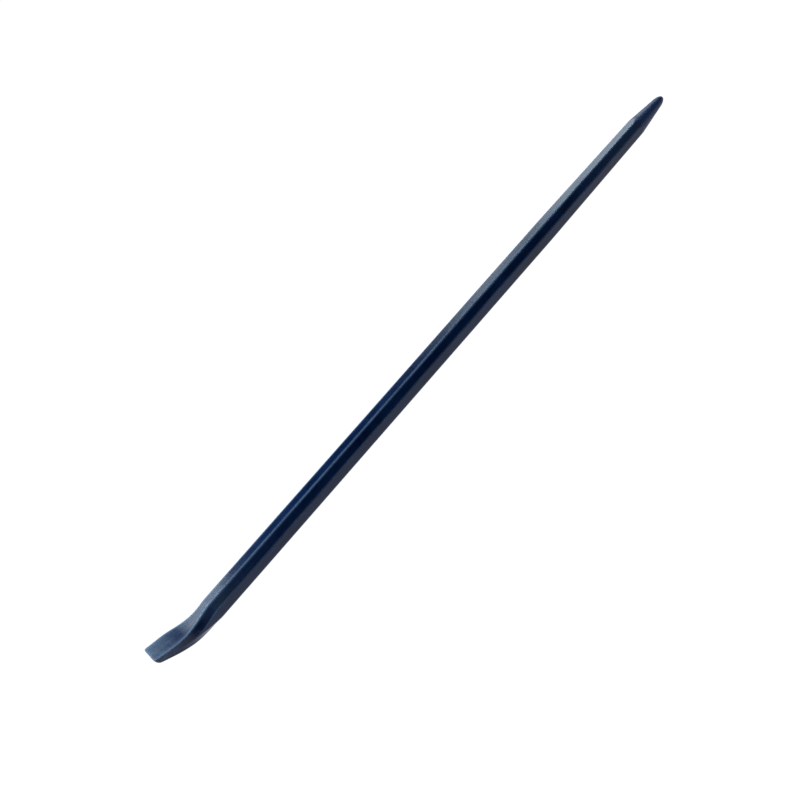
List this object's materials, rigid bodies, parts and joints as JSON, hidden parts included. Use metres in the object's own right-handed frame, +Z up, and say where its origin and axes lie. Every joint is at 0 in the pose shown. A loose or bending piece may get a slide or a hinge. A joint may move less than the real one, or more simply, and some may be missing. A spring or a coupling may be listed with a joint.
{
  "type": "pry bar",
  "caption": "One-piece octagonal steel pry bar with an upturned flat blade at one end and a blunt turned point at the other.",
  "frame": {"origin": "centre of the bounding box's bottom: mid-length, on the bar's middle plane, on the plane of the shank's bottom flat", "axes": "+X along the bar from the blade's lip towards the point, +Z up, the way the blade is bent and its flat face looks"},
  "size_m": [0.6, 0.018, 0.0248],
  "materials": {
    "blued_steel": "dark navy blued and lacquered forged steel, semi-gloss"
  },
  "bodies": {
    "root": {"pry_bar": "blued_steel"}
  },
  "joints": []
}
